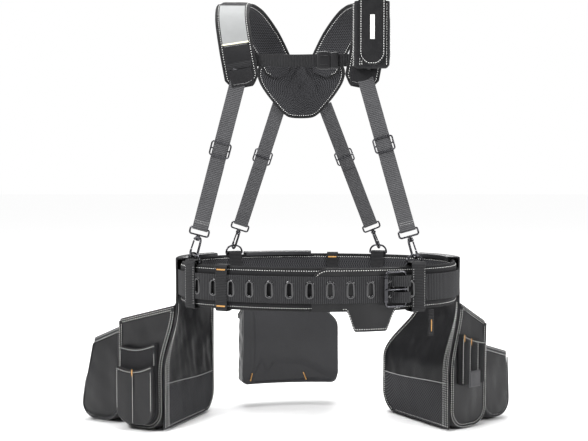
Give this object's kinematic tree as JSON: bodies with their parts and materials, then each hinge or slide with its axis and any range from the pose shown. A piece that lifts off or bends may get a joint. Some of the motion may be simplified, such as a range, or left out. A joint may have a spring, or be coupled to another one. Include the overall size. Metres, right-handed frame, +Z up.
{
  "type": "tool belt",
  "caption": "Padded tool belt ring with hanging pouches, a prong buckle, and suspenders joined by snap hooks, a back yoke and a chest strap.",
  "frame": {"origin": "centre of the rig's bounding box, on the surface the pouches stand on", "axes": "+X towards the right pouch as seen from the buckle side, +Y towards the back pouch, +Z up"},
  "size_m": [0.917, 0.4072, 0.8617],
  "materials": {
    "black_leather": "soft satin grain",
    "black_fabric": "matt woven",
    "air_mesh": "open mesh",
    "grey_webbing": "woven webbing",
    "gunmetal": "black nickel",
    "buckle_plastic": "satin",
    "reflective_tape": "satin reflective"
  },
  "bodies": {
    "root": {"belt_pad": "black_fabric", "belt_web": "grey_webbing", "front_panel": "black_leather", "buckle_frame": "gunmetal", "keeper_front_left": "grey_webbing", "keeper_front_right": "grey_webbing", "keeper_back_left": "grey_webbing", "keeper_back_right": "grey_webbing", "belt_loop_front": "grey_webbing", "belt_loop_back": "grey_webbing", "strap_front_left": "grey_webbing", "strap_front_right": "grey_webbing", "strap_back_left": "grey_webbing", "strap_back_right": "grey_webbing", "back_yoke": "air_mesh", "shoulder_pad_left": "black_fabric", "shoulder_pad_right": "black_fabric", "reflective_panel": "reflective_tape", "chest_strap_left": "grey_webbing", "chest_socket": "buckle_plastic", "phone_pouch": "black_fabric"},
    "left_pouch": {"left_pouch_back": "black_leather", "left_pouch_bag": "black_leather", "left_pocket_upper": "black_fabric", "left_pocket_lower": "black_leather", "left_holster": "black_leather", "left_tool_loop": "black_leather"},
    "right_pouch": {"right_pouch_back": "black_leather", "right_pouch_bag": "black_leather", "right_pencil_pocket": "black_fabric", "right_outer_pouch": "black_leather"},
    "back_pouch": {"back_pouch_panel": "black_leather", "back_pouch_bag": "black_leather"},
    "roller": {"buckle_roller": "gunmetal"},
    "prong": {"buckle_prong": "gunmetal"},
    "flap": {"phone_flap": "black_leather"},
    "insert": {"chest_insert": "buckle_plastic", "chest_strap_right": "grey_webbing"},
    "tab": {"hanging_tab": "grey_webbing"},
    "slider_front_left": {"slider_front_left": "gunmetal"},
    "dring_front_left": {"dring_front_left": "gunmetal"},
    "bail_front_left": {"bail_front_left": "gunmetal"},
    "hook_front_left": {"hook_front_left": "gunmetal"},
    "gate_front_left": {"gate_front_left": "gunmetal"},
    "slider_front_right": {"slider_front_right": "gunmetal"},
    "dring_front_right": {"dring_front_right": "gunmetal"},
    "bail_front_right": {"bail_front_right": "gunmetal"},
    "hook_front_right": {"hook_front_right": "gunmetal"},
    "gate_front_right": {"gate_front_right": "gunmetal"},
    "slider_back_left": {"slider_back_left": "gunmetal"},
    "dring_back_left": {"dring_back_left": "gunmetal"},
    "bail_back_left": {"bail_back_left": "gunmetal"},
    "hook_back_left": {"hook_back_left": "gunmetal"},
    "gate_back_left": {"gate_back_left": "gunmetal"},
    "slider_back_right": {"slider_back_right": "gunmetal"},
    "dring_back_right": {"dring_back_right": "gunmetal"},
    "bail_back_right": {"bail_back_right": "gunmetal"},
    "hook_back_right": {"hook_back_right": "gunmetal"},
    "gate_back_right": {"gate_back_right": "gunmetal"}
  },
  "joints": [
    {"name": "buckle_prong_hinge", "type": "hinge", "parent": "root", "child": "prong", "pos_m": [0.20422, -0.17883, 0.3055], "axis": [0, 0, 1], "range_deg": [0, 95]},
    {"name": "buckle_roller_spin", "type": "hinge", "parent": "root", "child": "roller", "pos_m": [0.16683, -0.19333, 0.3055], "axis": [0, 0, 1], "continuous": true},
    {"name": "phone_flap_hinge", "type": "hinge", "parent": "root", "child": "flap", "pos_m": [0.14272, -0.12415, 0.845], "axis": [1, 0, 0], "range_deg": [-110, 0]},
    {"name": "chest_insert_slide", "type": "slide", "parent": "root", "child": "insert", "axis": [1, 0, 0], "range_m": [0, 0.022]},
    {"name": "hanging_tab_swing", "type": "hinge", "parent": "root", "child": "tab", "pos_m": [0.25831, -0.13847, 0.2605], "axis": [0.8704, 0.4924, 0], "range_deg": [-30, 30]},
    {"name": "left_pouch_slide", "type": "hinge", "parent": "root", "child": "left_pouch", "pos_m": [-0.10728, -0.03315, 0.262], "axis": [0, 0, 1], "range_deg": [0, 18]},
    {"name": "right_pouch_slide", "type": "hinge", "parent": "root", "child": "right_pouch", "pos_m": [0.19872, -0.03315, 0.262], "axis": [0, 0, 1], "range_deg": [-18, 0]},
    {"name": "back_pouch_slide", "type": "hinge", "parent": "root", "child": "back_pouch", "pos_m": [0.04572, -0.30576, 0.262], "axis": [0, 0, 1], "range_deg": [-0.5, 0.8]},
    {"name": "slider_front_left_slide", "type": "slide", "parent": "root", "child": "slider_front_left", "axis": [0.2556, -0.0306, 0.9663], "range_m": [0, 0.04]},
    {"name": "dring_front_left_swing", "type": "hinge", "parent": "root", "child": "dring_front_left", "pos_m": [-0.19649, -0.1149, 0.3504], "axis": [0.6756, -0.7373, 0], "range_deg": [-5, 5]},
    {"name": "bail_front_left_swing", "type": "hinge", "parent": "root", "child": "bail_front_left", "pos_m": [-0.18396, -0.1164, 0.41475], "axis": [0.9668, 0, -0.2557], "range_deg": [-1.5, 1.5]},
    {"name": "hook_front_left_swivel", "type": "hinge", "parent": "bail_front_left", "child": "hook_front_left", "pos_m": [-0.18946, -0.11574, 0.39397], "axis": [0.2556, -0.0306, 0.9663], "range_deg": [-6, 6]},
    {"name": "gate_front_left_hinge", "type": "hinge", "parent": "hook_front_left", "child": "gate_front_left", "pos_m": [-0.19588, -0.12086, 0.39116], "axis": [0.6622, -0.7227, -0.1981], "range_deg": [-25, 0], "stiffness_Nm_per_rad": 0.01, "springref_deg": 5.73},
    {"name": "slider_front_right_slide", "type": "slide", "parent": "root", "child": "slider_front_right", "axis": [-0.2657, 0.0848, 0.9603], "range_m": [0, 0.04]},
    {"name": "dring_front_right_swing", "type": "hinge", "parent": "root", "child": "dring_front_right", "pos_m": [0.22416, -0.15573, 0.3504], "axis": [0.9114, 0.4115, 0], "range_deg": [-5, 5]},
    {"name": "bail_front_right_swing", "type": "hinge", "parent": "root", "child": "bail_front_right", "pos_m": [0.21115, -0.15158, 0.41446], "axis": [0.9638, 0, 0.2666], "range_deg": [-1.5, 1.5]},
    {"name": "hook_front_right_swivel", "type": "hinge", "parent": "bail_front_right", "child": "hook_front_right", "pos_m": [0.21686, -0.1534, 0.39381], "axis": [-0.2657, 0.0848, 0.9603], "range_deg": [-6, 6]},
    {"name": "gate_front_right_hinge", "type": "hinge", "parent": "hook_front_right", "child": "gate_front_right", "pos_m": [0.22077, -0.16069, 0.39116], "axis": [0.8909, 0.4023, 0.2109], "range_deg": [-25, 0], "stiffness_Nm_per_rad": 0.01, "springref_deg": 5.73},
    {"name": "slider_back_left_slide", "type": "slide", "parent": "root", "child": "slider_back_left", "axis": [0.3109, -0.0617, 0.9484], "range_m": [0, 0.04]},
    {"name": "dring_back_left_swing", "type": "hinge", "parent": "root", "child": "dring_back_left", "pos_m": [-0.13281, 0.08939, 0.3504], "axis": [-0.9113, -0.4117, 0], "range_deg": [-5, 5]},
    {"name": "bail_back_left_swing", "type": "hinge", "parent": "root", "child": "bail_back_left", "pos_m": [-0.11757, 0.08637, 0.41387], "axis": [-0.9503, 0, 0.3115], "range_deg": [-1.5, 1.5]},
    {"name": "hook_back_left_swivel", "type": "hinge", "parent": "bail_back_left", "child": "hook_back_left", "pos_m": [-0.12426, 0.08769, 0.39348], "axis": [0.3109, -0.0617, 0.9484], "range_deg": [-6, 6]},
    {"name": "gate_back_left_hinge", "type": "hinge", "parent": "hook_back_left", "child": "gate_back_left", "pos_m": [-0.1283, 0.09491, 0.39085], "axis": [-0.8794, -0.3973, 0.2624], "range_deg": [-25, 0], "stiffness_Nm_per_rad": 0.01, "springref_deg": 5.73},
    {"name": "slider_back_right_slide", "type": "slide", "parent": "root", "child": "slider_back_right", "axis": [-0.3644, -0.1126, 0.9244], "range_m": [0, 0.04]},
    {"name": "dring_back_right_swing", "type": "hinge", "parent": "root", "child": "dring_back_right", "pos_m": [0.18021, 0.10647, 0.3504], "axis": [-0.9507, 0.3101, 0], "range_deg": [-5, 5]},
    {"name": "bail_back_right_swing", "type": "hinge", "parent": "root", "child": "bail_back_right", "pos_m": [0.16235, 0.10095, 0.4127], "axis": [-0.9303, 0, -0.3667], "range_deg": [-1.5, 1.5]},
    {"name": "hook_back_right_swivel", "type": "hinge", "parent": "bail_back_right", "child": "hook_back_right", "pos_m": [0.17019, 0.10337, 0.39282], "axis": [-0.3644, -0.1126, 0.9244], "range_deg": [-6, 6]},
    {"name": "gate_back_right_hinge", "type": "hinge", "parent": "hook_back_right", "child": "gate_back_right", "pos_m": [0.17351, 0.11106, 0.39052], "axis": [-0.9009, 0.2939, -0.3193], "range_deg": [-25, 0], "stiffness_Nm_per_rad": 0.01, "springref_deg": 5.73}
  ]
}
